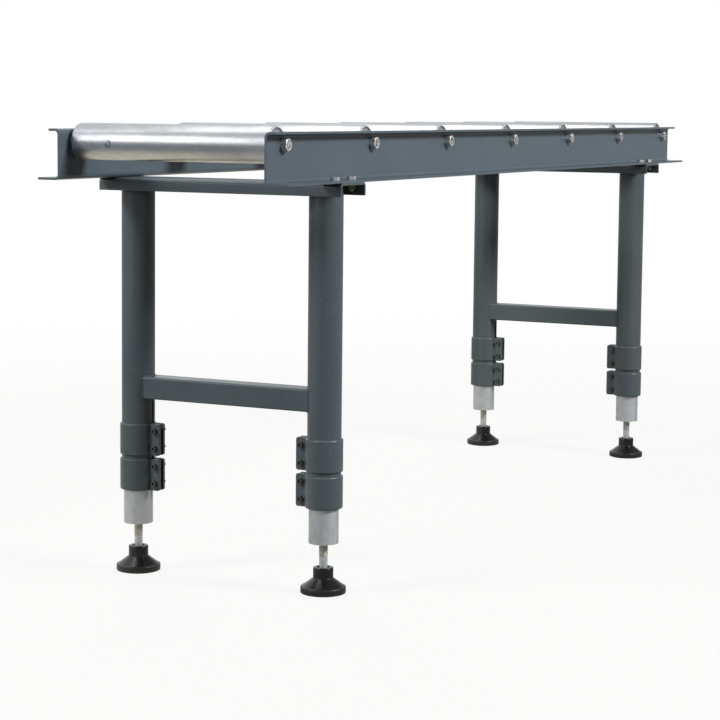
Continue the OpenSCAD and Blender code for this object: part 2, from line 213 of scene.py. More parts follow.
def powderCoat(name, look):
    # Sprayed and baked powder: an even satin colour, with the fine orange peel that breaks up its
    # highlights, and a brighter line where light catches the softened edges of the sheet.
    material, tree, place = newMaterial(name)
    cloud = pattern(tree, place, look["cloudSize"], Detail=2.0)
    speck = pattern(tree, place, look["speckSize"], Detail=1.0)
    peel = pattern(tree, place, look["peelSize"], Detail=1.0)
    base = mixColor(tree, ramp(tree, cloud, look["cloudSpan"]), look["color"], look["cloudColor"])
    dusty = mixColor(tree, ramp(tree, speck, look["dustSpan"], (0, look["dust"])), base,
                     look["dustColor"])
    return finishMaterial(material, tree, dusty, roughFrom(tree, cloud, noiseSpan, look), peel,
                          look["peelDepth"], plastic, look["edge"])


railLook = {
    "color": "#56636C", "cloudColor": "#5A6770", "cloudSize": 120 * mm, "cloudSpan": (0.35, 0.65),
    "dustColor": "#8A9196", "dust": 0.10, "speckSize": 9 * mm, "dustSpan": (0.62, 0.75),
    "roughness": 0.31, "smoother": 0.03, "rougher": 0.04,
    "peelSize": 2.4 * mm, "peelDepth": 0.05 * mm, "edge": 0.7 * mm,
}
legLook = {**railLook, "color": "#505B5F", "cloudColor": "#545F63", "roughness": 0.34}
# Weld beads lie under the same powder, with more dust between their ripples.
weldLook = {**legLook, "dust": 0.25, "roughness": 0.32, "edge": 0.0}
railPaint = powderCoat("powderCoatBlueGrey", railLook)
legPaint = powderCoat("powderCoatDarkGrey", legLook)
weldPaint = powderCoat("paintedWeldBead", weldLook)


def drawnTube(name, look):
    # Galvanised steel tube drawn through a die: bright, with faint scratches along its length,
    # smudged patches of duller zinc, a few dark marks from handling and one scuff.
    material, tree, place = newMaterial(name)
    streak = pattern(tree, place, look["streakSize"], look["streakStretch"], Detail=3.0)
    smudge = pattern(tree, place, look["smudgeSize"], look["smudgeStretch"], Detail=3.0)
    mark = pattern(tree, place, look["markSize"], Detail=2.0)
    grain = pattern(tree, place, look["scuffGrain"], Detail=2.0)
    apart = addNode(tree, "ShaderNodeVectorMath", {"operation": "DISTANCE"}, {1: look["scuffAt"]},
                    {0: (place, "Object")})
    near = ramp(tree, (apart, "Value"), look["scuffSpan"], (1.0, 0.0))
    scuff = times(tree, near, ramp(tree, grain, look["grainSpan"], (0, look["scuffs"])))
    base = mixColor(tree, ramp(tree, smudge, look["smudgeSpan"]), look["color"], look["dullColor"])
    lined = mixColor(tree, ramp(tree, streak, look["streakSpan"], (0, look["streaks"])), base,
                     look["streakColor"])
    marked = mixColor(tree, ramp(tree, mark, look["markSpan"], (0, look["marks"])), lined,
                      look["markColor"])
    scuffed = mixColor(tree, scuff, marked, look["markColor"])
    return finishMaterial(material, tree, scuffed, roughFrom(tree, smudge, noiseSpan, look),
                          streak, look["streakDepth"], metal)


rollerLook = {
    "color": "#BCBEC0", "roughness": 0.31, "smoother": 0.03, "rougher": 0.04,
    "dullColor": "#ADAFB1", "smudgeSize": 30 * mm, "smudgeStretch": (1, 3, 1),
    "smudgeSpan": (0.38, 0.66),
    "streakColor": "#8E9194", "streaks": 0.5, "streakSize": 1.6 * mm, "streakStretch": (1, 9, 1),
    "streakSpan": (0.45, 0.75), "streakDepth": 0.005 * mm,
    "markColor": "#55585A", "marks": 0.8, "markSize": 12 * mm, "markSpan": (0.74, 0.79),
    "scuffAt": (-976.5 * mm, 111 * mm, 743 * mm),  # on the first roller
    "scuffSpan": (4 * mm, 9 * mm), "scuffs": 0.75, "scuffGrain": 4.5 * mm,
    "grainSpan": (0.42, 0.5),
}
rollerSteel = drawnTube("galvanisedRollerTube", rollerLook)


def spangledTube(name, look):
    # Hot-dip galvanised tube: dull zinc crystals of slightly different greys, with a warm stain.
    material, tree, place = newMaterial(name)
    tone = cellTones(tree, place, look["spangleSize"], look["spangleStretch"])
    stain = pattern(tree, place, look["stainSize"], Detail=4.0)
    streak = pattern(tree, place, look["streakSize"], look["streakStretch"], Detail=2.0)
    base = mixColor(tree, tone, look["color"], look["paleColor"])
    warm = mixColor(tree, ramp(tree, stain, look["stainSpan"], (0, look["stains"])), base,
                    look["stainColor"])
    lined = mixColor(tree, ramp(tree, streak, look["streakSpan"], (0, look["streaks"])), warm,
                     look["streakColor"])
    return finishMaterial(material, tree, lined, roughFrom(tree, tone, fullSpan, look), stain,
                          look["stainDepth"], metal)


tubeLook = {
    "color": "#BFC2C4", "paleColor": "#C8CBCD", "roughness": 0.75, "smoother": 0.07,
    "rougher": 0.07, "spangleSize": 4 * mm, "spangleStretch": (1, 1, 1.5),
    "stainColor": "#BBBDBD", "stains": 0.8, "stainSize": 12 * mm, "stainSpan": (0.4, 0.7),
    "stainDepth": 0.02 * mm,
    "streakColor": "#B2B5B7", "streaks": 0.4, "streakSize": 2.5 * mm,
    "streakStretch": (1, 1, 10), "streakSpan": (0.5, 0.8),
}
tubeZinc = spangledTube("galvanisedLegTube", tubeLook)


def zincPlated(name, look):
    # Bright zinc plate on small steel parts: shiny, with grey mottling from handling.
    material, tree, place = newMaterial(name)
    mottle = pattern(tree, place, look["mottleSize"], Detail=3.0)
    base = mixColor(tree, ramp(tree, mottle, look["mottleSpan"]), look["color"], look["dullColor"])
    return finishMaterial(material, tree, base, roughFrom(tree, mottle, noiseSpan, look), mottle,
                          look["mottleDepth"], metal, look["edge"])


plateLook = {
    "color": "#DDDEDE", "dullColor": "#B0B3B5", "roughness": 0.68, "smoother": 0.06,
    "rougher": 0.10, "mottleSize": 4 * mm, "mottleSpan": (0.4, 0.62), "mottleDepth": 0.06 * mm,
    "edge": 0.5 * mm,
}
zincPlate = zincPlated("brightZincPlate", plateLook)
cupLook = {**plateLook, "color": "#CFD1D3", "dullColor": "#B9BBBD", "roughness": 0.64,
           "mottleSize": 12 * mm}
cupSteel = zincPlated("pressedZincedSteel", cupLook)


def axleSteel(name, look):
    # Zinced steel in two tones, a clean one and a dull or rusty one, which change at endFrom
    # metres from the middle along one axis, so that handled thread ends look older than the rest.
    # The bolts use the same change for painted shade under the flanges.
    material, tree, place = newMaterial(name)
    mottle = pattern(tree, place, look["mottleSize"], Detail=3.0)
    across = addNode(tree, "ShaderNodeMath", {"operation": "ABSOLUTE"},
                     links={0: (split(tree, place), look["endAxis"])})
    bright = mixColor(tree, ramp(tree, mottle, look["mottleSpan"]), look["color"],
                      look["dullColor"])
    rust = mixColor(tree, ramp(tree, mottle, look["rustSpan"]), look["endColor"],
                    look["rustColor"])
    past = ramp(tree, (across, 0), (look["endFrom"], look["endFrom"] + look["endFade"]))
    return finishMaterial(material, tree, mixColor(tree, past, bright, rust), look["roughness"],
                          mottle, look["mottleDepth"], metal)


axleLook = {
    "color": "#DDDEDE", "dullColor": "#B0B3B5", "roughness": 0.6, "mottleSize": 5 * mm,
    "mottleSpan": (0.4, 0.62), "mottleDepth": 0.06 * mm,
    "endAxis": "Y", "endFrom": 201 * mm, "endFade": 0.5 * mm,
    "endColor": "#C9CACA", "rustColor": "#8F7F68", "rustSpan": (0.5, 0.6),
}
axleZinc = axleSteel("zincedAxle", axleLook)
# Bolts change the other way: bright heads above the flanges, and under them ends and nuts in a
# dark brown that is partly the zinc's own yellowish tint and partly painted shade in the channel.
boltBrownAndShadedLook = {**axleLook, "color": "#8E8878", "dullColor": "#565044", "endColor": "#DCDCDA",
            "rustColor": "#B4B5B5", "endFrom": 684 * mm, "endAxis": "Z"}
boltZincBrownAndShaded = axleSteel("zincedBoltBrownAndShadedBelow", boltBrownAndShadedLook)


def oiledBlack(name, look):
    # Blackened steel with a film of oil: nearly black, with small sharp highlights.
    material, tree, place = newMaterial(name)
    grain = pattern(tree, place, look["grainSize"], Detail=2.0)
    base = mixColor(tree, ramp(tree, grain, look["wornSpan"]), look["color"], look["wornColor"])
    return finishMaterial(material, tree, base, look["roughness"], grain, look["grainDepth"],
                          {"Metallic": 0.0, "IOR": look["ior"]}, look["edge"])


blackLook = {"color": "#121213", "wornColor": "#202122", "wornSpan": (0.4, 0.7),
             "roughness": 0.3, "ior": 1.9, "grainSize": 2 * mm, "grainDepth": 0.03 * mm,
             "edge": 0.4 * mm}
blackSteel = oiledBlack("blackenedSteel", blackLook)


def mouldedPlastic(name, look):
    # Injection moulded black plastic: glossy on the sloping shoulder, dull and scuffed on the rim.
    material, tree, place = newMaterial(name)
    scuff = pattern(tree, place, look["scuffSize"], Detail=4.0)
    rim = ramp(tree, (split(tree, place), "Z"),
               (look["rimTop"] - look["rimFade"], look["rimTop"] + look["rimFade"]), (1.0, 0.0))
    worn = times(tree, rim, ramp(tree, scuff, look["scuffSpan"], (look["leastWorn"], 1.0)))
    base = mixColor(tree, worn, look["color"], look["rimColor"])
    rough = ramp(tree, worn, fullSpan, (look["roughness"], look["rimRoughness"]))
    return finishMaterial(material, tree, base, rough, scuff, look["scuffDepth"], plastic)


plasticLook = {
    "color": "#090909", "rimColor": "#181919", "roughness": 0.24, "rimRoughness": 0.5,
    "rimTop": 12.5 * mm, "rimFade": 1 * mm, "leastWorn": 0.4,
    "scuffSize": 3 * mm, "scuffSpan": (0.4, 0.6), "scuffDepth": 0.06 * mm,
}
footPlastic = mouldedPlastic("mouldedBlackPlastic", plasticLook)


def spindleSteel(name, look):
    # Turned spindle: a clean plain shank, and a thread with brown grease in its grooves.
    material, tree, place = newMaterial(name)
    mottle = pattern(tree, place, look["mottleSize"], Detail=3.0)
    threaded = ramp(tree, (split(tree, place), "Z"), look["threadSpan"])
    bright = mixColor(tree, ramp(tree, mottle, look["dullSpan"]), look["color"], look["dullColor"])
    greasy = mixColor(tree, ramp(tree, mottle, look["greaseSpan"]), look["greaseColor"],
                      look["threadColor"])
    return finishMaterial(material, tree, mixColor(tree, threaded, bright, greasy),
                          look["roughness"], mottle, look["mottleDepth"], metal)


spindleLook = {
    "color": "#CDD0D2", "dullColor": "#B9BCBE", "dullSpan": (0.4, 0.65),
    "greaseColor": "#ABA79D", "threadColor": "#C0BDB5", "greaseSpan": (0.35, 0.6),
    "threadSpan": (61.5 * mm, 62.1 * mm),  # height at which the thread begins
    "roughness": 0.7, "mottleSize": 3 * mm, "mottleDepth": 0.05 * mm,
}
spindleZinc = spindleSteel("turnedSpindleSteel", spindleLook)


def rubberSheet(name, look):
    # Cut rubber: dark and matt, with a fine grain.
    material, tree, place = newMaterial(name)
    grain = pattern(tree, place, look["grainSize"], Detail=2.0)
    base = mixColor(tree, grain, look["color"], look["grainColor"])
    return finishMaterial(material, tree, base, look["roughness"], grain, look["grainDepth"],
                          plastic)


rubberLook = {"color": "#161616", "grainColor": "#262626", "roughness": 0.75,
              "grainSize": 1.5 * mm, "grainDepth": 0.1 * mm}
blackRubber = rubberSheet("cutBlackRubber", rubberLook)

nodeMaterials = {  # start of a node's name, and its material
    "rail_": railPaint, "cross_member_": legPaint, "stretcher_": legPaint, "outer_tube_": legPaint,
    "tube_clamp_": legPaint, "stop_collar_": legPaint, "inner_tube_": tubeZinc,
    "tube_plug_": zincPlate, "roller_": rollerSteel, "bearing_set_": cupSteel,
    # frame bolts and nuts: brownish zinc with painted shade under the flanges
    "axle_nuts": zincPlate, "axle_": axleZinc, "frame_bolts": boltZincBrownAndShaded, "frame_nuts": boltZincBrownAndShaded,
    "clamp_screws": blackSteel, "clamp_nuts": blackSteel, "spindle_": spindleZinc,
    "foot_": footPlastic,
}
for nodeName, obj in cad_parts.items():
    start = next(key for key in nodeMaterials if nodeName.startswith(key))
    obj.data.materials.clear()
    obj.data.materials.append(nodeMaterials[start])
print("materials ready:", len(bpy.data.materials))


stageLook = {  # distances in metres; directions as parts of a unit vector
    "floor": "#C4C2BE",
    "bounce": "#484642",  # floor as it lights what stands on it
    "floorGlow": 0.88,  # share of the floor's white that shadow doesn't touch, near the stand
    "glowSpan": (1.2, 4.5),  # from the middle, where the floor turns fully white
    "floorRadius": 60.0, "floorSides": 64,
    # Painted reflection: the floor as polished metal sees it, glowing in tones of its own, under
    # the stand, in front of it, behind it and to its right.
    "underColor": "#F4EBD6", "frontColor": "#9A9FA4", "frontSpan": (0.9, 2.1),
    "farColor": "#46494C", "farWay": (0.9, -0.43, 0), "farSpan": (0.8, 3.0),
    "dimFloorColor": "#A6A7A8", "dimFloorSpan": (-0.1, 0.35),
    # The world as polished metal sees it, by height and by how far it looks to the left.
    "skySpan": (0.0, 0.25), "skyGlow": (1.1, 1.05),
    "sideSpan": (-0.2, 0.45), "sideGlow": (0.3, 1.0),
    "worldColor": "#F6F8FA", "worldLight": 0.03,
}

# Place, aim point and size in metres, power in watts, whether the lamp lights what is dull, and
# whether polished metal mirrors it.
lamps = {
    "overhead": ((0.0, 0.9, 4.0), (0, 0.9, 0.7), (3.4, 1.7), 36, True, True),
    "right": ((-0.2, -4.6, 3.6), (0, 0, 0.6), (1.6, 1.3), 290, True, True),
    "left": ((-4.0, 2.7, 3.95), (-0.6, 0, 0.5), (1.3, 1.3), 195, True, False),
    "front": ((-5.6, 0.2, 2.0), (-0.5, 0, 0.5), (2.0, 1.6), 32, True, False),
    "back": ((3.6, 3.4, 2.6), (0, 0, 0.5), (2.4, 2.0), 150, True, False),
    "card": ((-4.75, 2.45, 2.35), (-0.9, 0, 0.75), (1.8, 2.2), 48, False, True),
    "strip": ((-1.6, 1.8, 3.7), (-0.95, 0, 0.75), (0.25, 3.0), 8, False, True),
}


def lightKinds(tree):
    path = addNode(tree, "ShaderNodeLightPath")
    clear = addNode(tree, "ShaderNodeMath", {"operation": "MAXIMUM"},
                    links={0: (path, "Is Camera Ray"), 1: (path, "Is Transmission Ray")})
    return (path, "Is Glossy Ray"), (path, "Is Diffuse Ray"), (clear, 0)


def mixShader(tree, share, first, second):
    return addNode(tree, "ShaderNodeMixShader", links={0: share, 1: (first, 0), 2: (second, 0)})


def makeFloor(look):
    # A disc: (radius cos a, radius sin a, 0). The camera sees it lit but nearly white, matt things
    # get its bounce, and polished metal sees its own picture of it.
    mesh = bpy.data.meshes.new("floor")
    angle = np.linspace(0, 2 * math.pi, look["floorSides"], endpoint=False)
    ring = np.stack([np.cos(angle), np.sin(angle), 0 * angle], axis=1) * look["floorRadius"]
    mesh.from_pydata(ring.tolist(), [], [list(range(len(ring)))])
    floor = bpy.data.objects.new("floor", mesh)
    bpy.context.scene.collection.objects.link(floor)
    material, tree, place = newMaterial("studioFloor")
    glossy, diffuse, clear = lightKinds(tree)
    away = addNode(tree, "ShaderNodeVectorMath", {"operation": "LENGTH"},
                   links={0: (place, "Object")}), "Value"
    matte = addNode(tree, "ShaderNodeBsdfDiffuse",
                    links={"Color": mixColor(tree, diffuse, look["floor"], look["bounce"])})
    white = addNode(tree, "ShaderNodeEmission", inputs={"Color": (1, 1, 1, 1), "Strength": 1.0})
    glow = ramp(tree, away, look["glowSpan"], (look["floorGlow"], 1.0))
    seen = mixShader(tree, times(tree, glow, clear), matte, white)
    rearward = addNode(tree, "ShaderNodeVectorMath", {"operation": "DOT_PRODUCT"},
                       {1: look["farWay"]}, {0: (place, "Object")}), "Value"
    tone = mixColor(tree, ramp(tree, away, look["frontSpan"]), look["underColor"],
                    look["frontColor"])
    tone = mixColor(tree, ramp(tree, rearward, look["farSpan"]), tone, look["farColor"])
    tone = mixColor(tree, ramp(tree, (split(tree, place), "Y"), look["dimFloorSpan"]),
                    look["dimFloorColor"], tone)
    mirrored = addNode(tree, "ShaderNodeEmission", inputs={"Strength": 1.0}, links={"Color": tone})
    addNode(tree, "ShaderNodeOutputMaterial",
            links={"Surface": (mixShader(tree, glossy, seen, mirrored), 0)})
    floor.data.materials.append(material)


def makeWorld(look):
    # White to the camera, dim as light, and to polished metal a glow that is dimmer to the right.
    world = bpy.data.worlds.new("studio")
    bpy.context.scene.world = world
    world.use_nodes = True
    tree = world.node_tree
    tree.nodes.clear()
    parts = split(tree, addNode(tree, "ShaderNodeTexCoord"), "Generated")
    glossy, _, clear = lightKinds(tree)
    color = linear(look["worldColor"])
    light = addNode(tree, "ShaderNodeBackground",
                    inputs={"Color": color, "Strength": look["worldLight"]})
    white = addNode(tree, "ShaderNodeBackground", inputs={"Color": (1, 1, 1, 1), "Strength": 1.0})
    height = ramp(tree, (parts, "Z"), look["skySpan"], look["skyGlow"])
    sideways = ramp(tree, (parts, "Y"), look["sideSpan"], look["sideGlow"])
    mirrored = addNode(tree, "ShaderNodeBackground", inputs={"Color": color},
                       links={"Strength": times(tree, height, sideways)})
    lit = mixShader(tree, glossy, light, mirrored)
    addNode(tree, "ShaderNodeOutputWorld",
            links={"Surface": (mixShader(tree, clear, lit, white), 0)})


def makeLamps(table):
    for name, (place, aim, size, power, lighting, mirrored) in table.items():
        data = bpy.data.lights.new(name, "AREA")
        data.shape = "RECTANGLE"
        data.size, data.size_y = size
        data.energy = power
        lamp = bpy.data.objects.new(name, data)
        bpy.context.scene.collection.objects.link(lamp)
        lamp.location = place
        lamp.rotation_euler = (Vector(aim) - Vector(place)).to_track_quat("-Z", "Y").to_euler()
        lamp.visible_camera = False
        lamp.visible_diffuse = lighting
        lamp.visible_glossy = mirrored


makeFloor(stageLook)
makeWorld(stageLook)
makeLamps(lamps)
print("stage and lamps ready")


def gridPart(points, closeRows=False, closeColumns=False):
    # points is (rows, columns, 3); one quad joins each neighbouring pair of rows and columns.
    index = np.arange(points.shape[0] * points.shape[1]).reshape(points.shape[:2])
    if closeRows:
        index = np.vstack([index, index[:1]])
    if closeColumns:
        index = np.hstack([index, index[:, :1]])
    quads = np.stack([index[:-1, :-1], index[1:, :-1], index[1:, 1:], index[:-1, 1:]], axis=-1)
    return points.reshape(-1, 3), quads.reshape(-1, 4)


def placed(part, turn, place):
    # turn is a 3 x 3 array whose rows are where x, y and z go to, place is in metres.
    return part[0] @ np.array(turn, dtype=float) + np.array(place), part[1]


upright = ((1, 0, 0), (0, 1, 0), (0, 0, 1))
alongY = ((1, 0, 0), (0, 0, -1), (0, 1, 0))  # what stood on +Z points along +Y
alongMinusY = ((1, 0, 0), (0, 0, 1), (0, -1, 0))


mergeDistance = 0.001 * mm


def makePiece(name, parts, body, material, replaced=(), sharpAngle=35):
    # parts are (points, quads) arrays; all of them become one mesh in the row frame, with hard
    # edges where faces meet at more than sharpAngle degrees.
    starts = np.cumsum([0] + [len(p[0]) for p in parts[:-1]])
    points = np.concatenate([p[0] for p in parts])
    quads = np.concatenate([p[1] + s for p, s in zip(parts, starts)])
    mesh = bpy.data.meshes.new(name)
    mesh.from_pydata(points.tolist(), [], quads.tolist())
    bm = bmesh.new()
    bm.from_mesh(mesh)
    bmesh.ops.remove_doubles(bm, verts=bm.verts, dist=mergeDistance)
    bmesh.ops.recalc_face_normals(bm, faces=bm.faces)
    bm.to_mesh(mesh)
    bm.free()
    mesh.shade_smooth()
    mesh.set_sharp_from_angle(angle=math.radians(sharpAngle))
    mesh.materials.append(material)
    piece = bpy.data.objects.new(name, mesh)
    bpy.context.scene.collection.objects.link(piece)
    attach(piece, body)
    if replaced:
        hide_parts(*replaced)


def roundedOutline(corners, steps=6):
    # Closed outline with rounded corners (x, y, radius): each arc leaves the sides at
    # radius / tan(half the corner's angle) from the corner, about a centre at radius / sin(half)
    # along the line that halves it.
    outline = []
    count = len(corners)
    for i, (x, y, radius) in enumerate(corners):
        corner = np.array([x, y], dtype=float)
        before = np.array(corners[i - 1][:2]) - corner
        after = np.array(corners[(i + 1) % count][:2]) - corner
        before, after = before / np.linalg.norm(before), after / np.linalg.norm(after)
        if radius <= 0:
            outline.append(corner)
            continue
        half = math.acos(np.clip(before @ after, -1, 1)) / 2
        middle = (before + after) / np.linalg.norm(before + after)
        centre = corner + middle * radius / math.sin(half)
        start = corner + before * radius / math.tan(half) - centre
        end = corner + after * radius / math.tan(half) - centre
        first = math.atan2(start[1], start[0])
        sweep = (math.atan2(end[1], end[0]) - first + math.pi) % (2 * math.pi) - math.pi
        angle = first + sweep * np.linspace(0, 1, steps)
        outline.extend(centre + radius * np.stack([np.cos(angle), np.sin(angle)], axis=1))
    return np.array(outline)


def turnedPart(profile, around):
    # Closed profile turned about Z: (r cos a, r sin a, z) for each angle a and profile point
    # (r, z).
    angle = np.linspace(0, 2 * math.pi, around, endpoint=False)[:, None]
    r, z = profile[None, :, 0], profile[None, :, 1]
    points = np.stack([r * np.cos(angle), r * np.sin(angle), z + 0 * angle], axis=-1)
    return gridPart(points, closeRows=True, closeColumns=True)


# Roller tubes: their cut ends are rounded over the pressed cups.
rollerTube = {"outer": 30 * mm, "wall": 2 * mm, "rim": 1.1 * mm, "inner": 0.3 * mm,
              "around": 96}


def makeRollers(t):
    # The tube wall's section, an outline with rounded corners at r = inside and r = outer and
    # z = +-half, turned about the roller's axis.
    low, high = boxOf("roller_1")
    half = (high - low)[1] / 2
    inside = t["outer"] - t["wall"]
    profile = roundedOutline([(inside, -half, t["inner"]), (t["outer"], -half, t["rim"]),
                              (t["outer"], half, t["rim"]), (inside, half, t["inner"])])
    for i in rollerNumbers:
        part = placed(turnedPart(profile, t["around"]), alongY, middleOf(f"roller_{i}"))
        makePiece(f"roller_tube_{i}", [part], f"roller_{i}", rollerSteel,
                  [f"roller_{i}"])


makeRollers(rollerTube)
print("rollers made")


# End caps: a pressed disc almost level with the end of the tube, round the bearing.
endCap = {"out": 26.7 * mm, "hole": 18.5 * mm, "dip": 0.6 * mm, "thick": 1.5 * mm,
          "rimRound": 0.72 * mm, "foldRound": 0.45 * mm, "dishFrom": 24.6 * mm,
          "dishTo": 23.2 * mm, "dish": 0.8 * mm, "around": 96}


def makeEndCaps(c):
    # The pressed sheet's section, flat from out to dishFrom and then dished down to the hole,
    # with rounded folds, turned about the roller's axis.
    end = boxOf("roller_1")[1][1]
    face, dished = -c["dip"], -c["dip"] - c["dish"]
    profile = roundedOutline([
        (c["out"], face, c["rimRound"]), (c["dishFrom"], face, c["foldRound"]),
        (c["dishTo"], dished, c["foldRound"]), (c["hole"], dished, c["foldRound"]),
        (c["hole"], dished - c["thick"], 0), (c["out"], face - c["thick"], 0)])
    disc = turnedPart(profile, c["around"])
    for i in rollerNumbers:
        x, _, z = middleOf(f"roller_{i}")
        parts = [placed(disc, alongY, (x, end, z)), placed(disc, alongMinusY, (x, -end, z))]
        makePiece(f"roller_end_caps_{i}", parts, f"roller_{i}", cupSteel)


makeEndCaps(endCap)
print("end caps made")


# Spindles: ball, plain shank, undercut and a rolled thread.
spindleShape = {
    "ball": 10 * mm, "ballUp": 20 * mm, "ballRows": 20, "shank": 7 * mm, "shankTop": 62 * mm,
    "undercut": 0.5 * mm, "undercutLong": 1.2 * mm, "undercutSlope": 0.2 * mm, "top": 160 * mm,
    "crest": 7.5 * mm, "root": 6.9 * mm, "pitch": 2.5 * mm,
    "flat": 0.2,  # share of the thread's depth that is cut off at the crest and at the root
    "rowsPerTurn": 10, "around": 48, "runOut": 2 * mm, "endChamfer": 1.5 * mm,
}


def makeSpindles(s):
    # Radius of the thread at angle a and height z: root + (crest - root) * c, where c is the
    # triangle wave |2 frac(z / pitch - a / 2 pi) - 1|, stretched and cut flat at both ends.
    angle = np.linspace(0, 2 * math.pi, s["around"], endpoint=False)[:, None]
    arc = np.linspace(-math.pi / 2, math.acos(s["shank"] / s["ball"]), s["ballRows"])
    ballR, ballZ = s["ball"] * np.cos(arc), s["ballUp"] + s["ball"] * np.sin(arc)
    cutFrom, cutR = s["shankTop"] - s["undercutLong"], s["shank"] - s["undercut"]
    shankZ = np.array([cutFrom, cutFrom + s["undercutSlope"], s["shankTop"]])
    shankR = np.array([s["shank"], cutR, cutR])
    turns = (s["top"] - s["shankTop"]) / s["pitch"]
    threadZ = np.linspace(s["shankTop"], s["top"], int(turns * s["rowsPerTurn"]))[None, :]
    wave = np.abs(2 * ((threadZ / s["pitch"] - angle / (2 * math.pi)) % 1) - 1)
    crested = np.clip((wave - s["flat"]) / (1 - 2 * s["flat"]), 0, 1)
    fade = np.clip((threadZ - s["shankTop"]) / s["runOut"], 0, 1)
    cap = s["crest"] - np.clip(threadZ - s["top"] + s["endChamfer"], 0, None)
    threadR = np.minimum(s["root"] + (s["crest"] - s["root"]) * crested * fade, cap)
    plainR = np.concatenate([ballR, shankR])[None, :] + 0 * angle
    plainZ = np.concatenate([ballZ, shankZ])[None, :] + 0 * angle
    r = np.hstack([0 * angle, plainR, threadR, 0 * angle])
    z = np.hstack([0 * angle + s["ballUp"] - s["ball"], plainZ, threadZ + 0 * angle,
                   0 * angle + s["top"]])
    points = np.stack([r * np.cos(angle), r * np.sin(angle), z], axis=-1)
    part = gridPart(points, closeRows=True)
    for corner in corners:
        x, y, _ = middleOf(f"spindle_{corner}")
        makePiece(f"screw_spindle_{corner}", [placed(part, upright, (x, y, 0))],
                  f"spindle_{corner}", spindleZinc, [f"spindle_{corner}"])


makeSpindles(spindleShape)
print("spindles made")


# Feet: a moulded shell with rounded rim and shoulder, open at the top, on a rubber pad.
footShape = {
    "rim": 38 * mm, "rimLow": 1 * mm, "rimLowRound": 1.2 * mm, "rimTop": 12 * mm,
    "rimTopRound": 2.2 * mm, "shoulderIn": 35.2 * mm, "shoulderRise": 0.4 * mm,
    "shoulderRound": 1.0 * mm, "shoulderTop": 26 * mm, "neck": 17 * mm, "neckRound": 1.5 * mm,
    "top": 44 * mm, "topRound": 1.8 * mm, "mouthTop": 10.7 * mm, "mouthRound": 1.0 * mm,
    "mouthLow": 8.3 * mm, "mouthUp": 6.3 * mm, "ballUp": 20 * mm, "ball": 10.3 * mm,
    "socketTop": 37, "socketLow": -89,  # degrees up from the ball's equator
    "socketRows": 14, "around": 96,
    "padOut": 34 * mm, "padTop": 3 * mm, "padGap": 0.1 * mm, "padRound": 0.8 * mm,
    "padAround": 64, "pinhole": 0.01 * mm,  # kept open on the axis, so that profiles can close
}


def makeFeet(s):
    # The shell's section, rounded outline and socket arc (ball cos a, ballUp + ball sin a), turned
    # about Z. The pad is a turned rectangle with one rounded corner.
    arc = np.linspace(math.radians(s["socketTop"]), math.radians(s["socketLow"]), s["socketRows"])
    socket = np.stack([s["ball"] * np.cos(arc), s["ballUp"] + s["ball"] * np.sin(arc)], axis=1)
    outer = roundedOutline([
        (s["pinhole"], s["padTop"], 0), (s["padOut"], s["padTop"], 0),
        (s["padOut"], s["rimLow"], 0), (s["rim"], s["rimLow"], s["rimLowRound"]),
        (s["rim"], s["rimTop"], s["rimTopRound"]),
        (s["shoulderIn"], s["rimTop"] + s["shoulderRise"], s["shoulderRound"]),
        (s["neck"], s["shoulderTop"], s["neckRound"]), (s["neck"], s["top"], s["topRound"]),
        (s["mouthTop"], s["top"], s["mouthRound"]),
        (s["mouthLow"], s["ballUp"] + s["mouthUp"], 0)])
    padEdge = s["padOut"] - s["padGap"]
    pad = roundedOutline([(s["pinhole"], 0, 0), (padEdge, 0, s["padRound"]),
                          (padEdge, s["padTop"], 0), (s["pinhole"], s["padTop"], 0)])
    shellPart = turnedPart(np.concatenate([outer, socket]), s["around"])
    padPart = turnedPart(pad, s["padAround"])
    for corner in corners:
        x, y, _ = middleOf(f"foot_{corner}")
        makePiece(f"moulded_foot_{corner}", [placed(shellPart, upright, (x, y, 0))],
                  f"foot_{corner}", footPlastic, [f"foot_{corner}"])
        makePiece(f"foot_pad_{corner}", [placed(padPart, upright, (x, y, 0))],
                  f"foot_{corner}", blackRubber)


makeFeet(footShape)
print("feet made")


# Axle nuts: hexagons with both ends turned off to a cone, and a countersunk thread.
nutShape = {
    "flats": 19 * mm, "height": 10.8 * mm, "thread": 6 * mm, "sink": 0.8 * mm,
    "turn": 15, "coneAngle": 30, "sharpAngle": 20,  # degrees
    "faceShare": 0.95,  # turned face's width as a share of the width across flats
    "perSide": 8,
}


def hexPart(h):
    # Radius of a hexagon at angle a: (flats / 2) / cos(a folded to +-30 degrees). Where it is
    # wider than the turned face, the ends drop by (radius - face radius) * tan(cone angle).
    angle = np.linspace(0, 2 * math.pi, 6 * h["perSide"], endpoint=False)
    flat = 0 * angle
    fold = (angle % (math.pi / 3)) - math.pi / 6
    radius = h["flats"] / 2 / np.cos(fold)
    face, bore = h["flats"] / 2 * h["faceShare"], h["thread"]
    drop = (radius - face) * math.tan(math.radians(h["coneAngle"]))
    rows = [(bore + flat, flat), (face + flat, flat), (radius, drop),
            (radius, h["height"] - drop), (face + flat, h["height"] + flat),
            (bore + h["sink"] + flat, h["height"] + flat),
            (bore + flat, h["height"] - h["sink"] + flat)]
    r = np.stack([row[0] for row in rows], axis=1)
    z = np.stack([row[1] for row in rows], axis=1)
    turn = angle[:, None] + math.radians(h["turn"])
    points = np.stack([r * np.cos(turn), r * np.sin(turn), z], axis=-1)
    return gridPart(points, closeRows=True, closeColumns=True)


def makeAxleNuts(h):
    webOut = boxOf("axle_nuts")[1][1] - h["height"]
    nut = hexPart(h)
    parts = []
    for i in rollerNumbers:
        x, _, z = middleOf(f"axle_{i}")
        parts.append(placed(nut, alongY, (x, webOut, z)))
        parts.append(placed(nut, alongMinusY, (x, -webOut, z)))
    makePiece("axle_hex_nuts", parts, "frame", zincPlate, ["axle_nuts"],
              h["sharpAngle"])


makeAxleNuts(nutShape)
print("nuts made")


